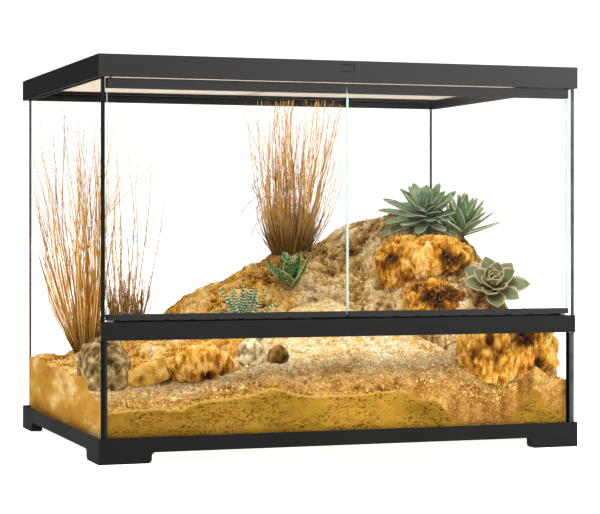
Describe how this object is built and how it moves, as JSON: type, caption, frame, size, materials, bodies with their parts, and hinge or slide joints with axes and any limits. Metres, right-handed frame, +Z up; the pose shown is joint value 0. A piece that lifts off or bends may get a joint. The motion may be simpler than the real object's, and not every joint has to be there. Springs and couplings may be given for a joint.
{
  "type": "reptile terrarium",
  "caption": "Front-opening glass terrarium with raised base, hinged doors, ventilated rail, lift-off screen cover, sliding cable gates and a planted desert landscape.",
  "frame": {"origin": "middle of the base frame's footprint, on the ground", "axes": "+Z up, +X to the right seen from the front, +Y towards the back; the doors face -Y"},
  "size_m": [0.6, 0.45, 0.465],
  "materials": {
    "black_plastic": "fine satin moulded texture",
    "cover_plastic": "fine satin moulded texture",
    "pane_glass": "clear float glass with green edges",
    "door_glass": "clear float glass with polished edges",
    "black_silicone": "smooth cured sealant",
    "steel": "plain drawn steel",
    "magnet": "nickel-plated magnet",
    "screen_wire": "coated woven wire, pale bronze",
    "washer_plastic": "natural nylon",
    "sand": "dry clay sand, pale on top and ochre where it is damp",
    "clay": "packed ochre clay with loose crumbs",
    "bark": "rough fibrous bark",
    "boulder_rock": "rough olive-grey rock",
    "flat_stone_rock": "flat sandstone",
    "pale_stone_rock": "pale worn stone",
    "dark_stone_rock": "dark brown stone",
    "terracotta": "unglazed clay",
    "dry_grass": "dry straw",
    "agave_leaf": "waxy grey-green leaf with pale edges",
    "rosette_leaf": "powdery grey-green leaf with pinkish edges",
    "zebra_leaf": "dark green leaf with white cross bands",
    "spotted_leaf": "green leaf with pale flecks"
  },
  "bodies": {
    "root": {"base_frame": "black_plastic", "bottom_pane": "pane_glass", "left_pane": "pane_glass", "right_pane": "pane_glass", "back_pane": "pane_glass", "front_pane": "pane_glass", "silicone_seams": "black_silicone", "vent_rail": "black_plastic", "vent_gauze": "steel", "catch_plates": "steel", "hinge_washers": "washer_plastic", "top_rim": "black_plastic", "sand_bed": "sand", "clay_mound": "clay", "cork_bark": "bark", "boulder": "boulder_rock", "flat_stone": "flat_stone_rock", "pale_stone": "pale_stone_rock", "dark_stone": "dark_stone_rock", "clay_pot": "terracotta", "agave_large": "agave_leaf", "agave_small": "agave_leaf", "grey_rosette": "rosette_leaf", "zebra_plant": "zebra_leaf", "spotted_plant": "spotted_leaf", "grass_tuft_left": "dry_grass", "grass_tuft_centre": "dry_grass"},
    "left_door": {"left_door_glass": "door_glass", "left_door_top_rail": "black_plastic", "left_door_bottom_rail": "black_plastic", "left_hinge_pins": "steel", "left_door_magnet": "magnet"},
    "right_door": {"right_door_glass": "door_glass", "right_door_top_rail": "black_plastic", "right_door_bottom_rail": "black_plastic", "right_hinge_pins": "steel", "right_door_magnet": "magnet"},
    "cover": {"cover_frame": "cover_plastic", "cover_latch": "cover_plastic", "cover_screen": "screen_wire"},
    "button": {"release_button": "black_plastic"},
    "gate_1": {"cable_gate_1": "black_plastic"},
    "gate_2": {"cable_gate_2": "black_plastic"},
    "gate_3": {"cable_gate_3": "black_plastic"},
    "gate_4": {"cable_gate_4": "black_plastic"}
  },
  "joints": [
    {"name": "left_door_hinge", "type": "hinge", "parent": "root", "child": "left_door", "pos_m": [-0.284, -0.216, 0.3], "axis": [0, 0, -1], "range_deg": [0, 100]},
    {"name": "right_door_hinge", "type": "hinge", "parent": "root", "child": "right_door", "pos_m": [0.284, -0.216, 0.3], "axis": [0, 0, 1], "range_deg": [0, 100]},
    {"name": "cover_lift", "type": "slide", "parent": "root", "child": "cover", "axis": [0, 0, 1], "range_m": [0, 0.06]},
    {"name": "button_press", "type": "slide", "parent": "root", "child": "button", "axis": [0, 1, 0], "range_m": [0, 0.002], "stiffness_N_per_m": 600},
    {"name": "gate_slide_1", "type": "slide", "parent": "root", "child": "gate_1", "axis": [1, 0, 0], "range_m": [0, 0.024]},
    {"name": "gate_slide_2", "type": "slide", "parent": "root", "child": "gate_2", "axis": [1, 0, 0], "range_m": [0, 0.024]},
    {"name": "gate_slide_3", "type": "slide", "parent": "root", "child": "gate_3", "axis": [-1, 0, 0], "range_m": [0, 0.024]},
    {"name": "gate_slide_4", "type": "slide", "parent": "root", "child": "gate_4", "axis": [-1, 0, 0], "range_m": [0, 0.024]}
  ]
}
